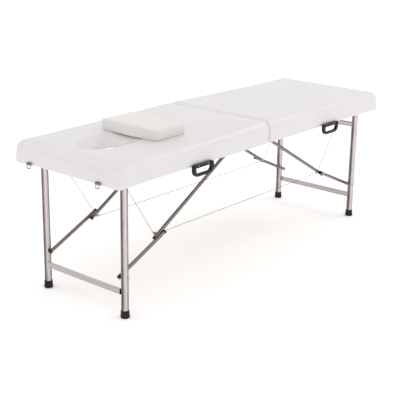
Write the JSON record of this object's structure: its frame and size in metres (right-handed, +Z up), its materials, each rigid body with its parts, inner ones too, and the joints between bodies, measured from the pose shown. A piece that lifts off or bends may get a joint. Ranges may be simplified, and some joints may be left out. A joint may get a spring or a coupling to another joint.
{
  "type": "portable massage table",
  "caption": "White padded massage table that folds in two like a case, on steel legs with folding braces and cables, with a face hole and a loose pillow.",
  "frame": {"origin": "on the floor, under the middle of the fold", "axes": "+X along the table from the fold to the foot end, +Y away from the side with the handles, +Z up"},
  "size_m": [1.8762, 0.6197, 0.7013],
  "materials": {
    "leather": "satin",
    "pillow_leather": "satin",
    "foam": "matte",
    "plywood": "matte",
    "timber": "matte",
    "tube_steel": "polished",
    "zinc_steel": "satin",
    "cable_steel": "satin",
    "black_plastic": "gloss",
    "black_rubber": "matte"
  },
  "bodies": {
    "head_panel": {"head_cover": "leather", "head_foam": "foam", "head_edge_foam": "foam", "head_board": "plywood", "head_rails": "timber", "head_leg_brackets": "zinc_steel", "head_brace_brackets": "zinc_steel", "head_pivot_bolts": "zinc_steel", "head_hinge_leaves": "zinc_steel", "head_cable_anchors": "zinc_steel", "head_cables": "cable_steel", "head_handle_mount": "black_plastic", "head_bumpers": "black_rubber", "latch_bases": "tube_steel", "hole_collar": "timber"},
    "hinge_pins": {"hinge_pins": "zinc_steel"},
    "foot_panel": {"foot_cover": "leather", "foot_foam": "foam", "foot_edge_foam": "foam", "foot_board": "plywood", "foot_rails": "timber", "foot_leg_brackets": "zinc_steel", "foot_brace_brackets": "zinc_steel", "foot_pivot_bolts": "zinc_steel", "foot_hinge_leaves": "zinc_steel", "foot_cable_anchors": "zinc_steel", "foot_cables": "cable_steel", "foot_handle_mount": "black_plastic", "foot_bumpers": "black_rubber", "latch_catches": "tube_steel"},
    "head_legs": {"head_leg_near": "tube_steel", "head_leg_far": "tube_steel", "head_feet": "black_rubber", "head_lower_crossbar": "tube_steel", "head_crossbar_rivets": "zinc_steel", "head_brace_bolts": "zinc_steel"},
    "foot_legs": {"foot_leg_near": "tube_steel", "foot_leg_far": "tube_steel", "foot_feet": "black_rubber", "foot_lower_crossbar": "tube_steel", "foot_crossbar_rivets": "zinc_steel", "foot_brace_bolts": "zinc_steel", "foot_upper_crossbar": "tube_steel"},
    "latch_near": {"latch_near": "tube_steel"},
    "latch_far": {"latch_far": "tube_steel"},
    "pillow": {"pillow": "pillow_leather"},
    "head_upper_brace": {"head_upper_braces": "tube_steel", "head_upper_brace_caps": "black_plastic", "head_knee_bolts": "zinc_steel"},
    "head_lower_brace": {"head_lower_braces": "tube_steel", "head_lower_brace_caps": "black_plastic", "head_knee_nuts": "zinc_steel"},
    "head_handle": {"head_handle": "black_plastic"},
    "foot_upper_brace": {"foot_upper_braces": "tube_steel", "foot_upper_brace_caps": "black_plastic", "foot_knee_bolts": "zinc_steel"},
    "foot_lower_brace": {"foot_lower_braces": "tube_steel", "foot_lower_brace_caps": "black_plastic", "foot_knee_nuts": "zinc_steel"},
    "foot_handle": {"foot_handle": "black_plastic"}
  },
  "joints": [
    {"name": "foot_half_fold", "type": "hinge", "parent": "hinge_pins", "child": "foot_panel", "pos_m": [0, 0, 0.5537], "axis": [0, 1, 0], "range_deg": [0, 90], "deforming": ["head_cables", "foot_cables"]},
    {"name": "head_half_fold", "type": "hinge", "parent": "hinge_pins", "child": "head_panel", "pos_m": [0, 0, 0.5537], "axis": [0, -1, 0], "range_deg": [0, 90]},
    {"name": "latch_near_swing", "type": "hinge", "parent": "head_panel", "child": "latch_near", "pos_m": [-0.935, -0.193, 0.565], "axis": [0, 1, 0], "range_deg": [0, 100]},
    {"name": "latch_far_swing", "type": "hinge", "parent": "head_panel", "child": "latch_far", "pos_m": [-0.935, 0.193, 0.565], "axis": [0, 1, 0], "range_deg": [0, 100]},
    {"name": "pillow_lift", "type": "slide", "parent": "head_panel", "child": "pillow", "axis": [0, 0, 1], "range_m": [0, 0.15]},
    {"name": "head_leg_fold", "type": "hinge", "parent": "head_panel", "child": "head_legs", "pos_m": [-0.828, 0, 0.574], "axis": [0, -1, 0], "range_deg": [0, 90]},
    {"name": "head_upper_brace_fold", "type": "hinge", "parent": "head_panel", "child": "head_upper_brace", "pos_m": [-0.061, 0, 0.579], "axis": [0, 1, 0], "range_deg": [0, 29.97]},
    {"name": "head_lower_brace_fold", "type": "hinge", "parent": "head_legs", "child": "head_lower_brace", "pos_m": [-0.823, 0, 0.17], "axis": [0, -1, 0], "range_deg": [0, 66.03]},
    {"name": "head_handle_swing", "type": "hinge", "parent": "head_panel", "child": "head_handle", "pos_m": [-0.465, -0.3075, 0.5635], "axis": [-1, 0, 0], "range_deg": [0, 90]},
    {"name": "foot_leg_fold", "type": "hinge", "parent": "foot_panel", "child": "foot_legs", "pos_m": [0.828, 0, 0.574], "axis": [0, 1, 0], "range_deg": [0, 90]},
    {"name": "foot_upper_brace_fold", "type": "hinge", "parent": "foot_panel", "child": "foot_upper_brace", "pos_m": [0.061, 0, 0.579], "axis": [0, -1, 0], "range_deg": [0, 29.97]},
    {"name": "foot_lower_brace_fold", "type": "hinge", "parent": "foot_legs", "child": "foot_lower_brace", "pos_m": [0.823, 0, 0.17], "axis": [0, 1, 0], "range_deg": [0, 66.03]},
    {"name": "foot_handle_swing", "type": "hinge", "parent": "foot_panel", "child": "foot_handle", "pos_m": [0.465, -0.3075, 0.5635], "axis": [-1, 0, 0], "range_deg": [0, 90]}
  ],
  "couplings": [
    {"joint": "head_leg_fold", "follows": "foot_half_fold", "ratio": 1},
    {"joint": "head_upper_brace_fold", "follows": "foot_half_fold", "ratio": 0.33295},
    {"joint": "head_lower_brace_fold", "follows": "foot_half_fold", "ratio": 0.73371},
    {"joint": "head_handle_swing", "follows": "foot_half_fold", "ratio": 1},
    {"joint": "foot_leg_fold", "follows": "foot_half_fold", "ratio": 1},
    {"joint": "foot_upper_brace_fold", "follows": "foot_half_fold", "ratio": 0.33295},
    {"joint": "foot_lower_brace_fold", "follows": "foot_half_fold", "ratio": 0.73371},
    {"joint": "foot_handle_swing", "follows": "foot_half_fold", "ratio": 1}
  ]
}
